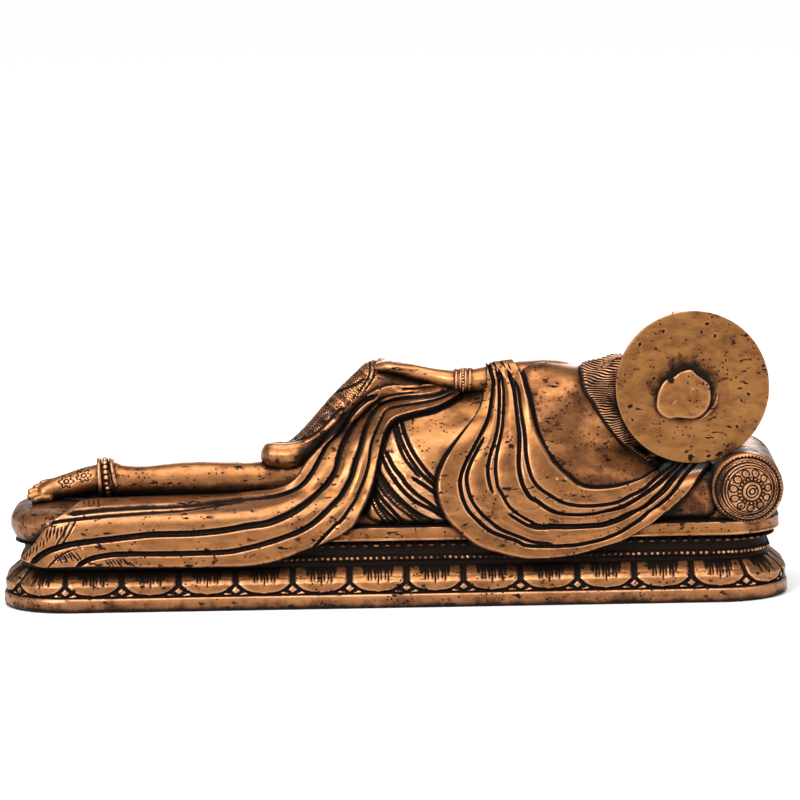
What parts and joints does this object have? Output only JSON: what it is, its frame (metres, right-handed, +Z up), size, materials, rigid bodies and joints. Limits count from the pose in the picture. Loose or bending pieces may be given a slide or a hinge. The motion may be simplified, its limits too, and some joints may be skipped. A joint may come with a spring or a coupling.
{
  "type": "reclining hanuman statue",
  "caption": "Cast bronze reclining Hanuman on a lotus bed, propped on a bolster, with flowing sashes and a round halo disc behind the head.",
  "frame": {"origin": "middle of the underside of the lotus base", "axes": "+Z up, +X from the feet towards the head, +Y the way the figure faces; its back faces -Y"},
  "size_m": [0.388, 0.088, 0.1421],
  "materials": {
    "bronze_casting": "cast and chased bronze, rubbed golden brown on the high places, near black in the grooves",
    "bronze_disc": "rubbed bronze plate, pitted, darker round the tenon"
  },
  "bodies": {
    "root": {"reclining_figure": "bronze_casting", "halo_disc": "bronze_disc"}
  },
  "joints": []
}
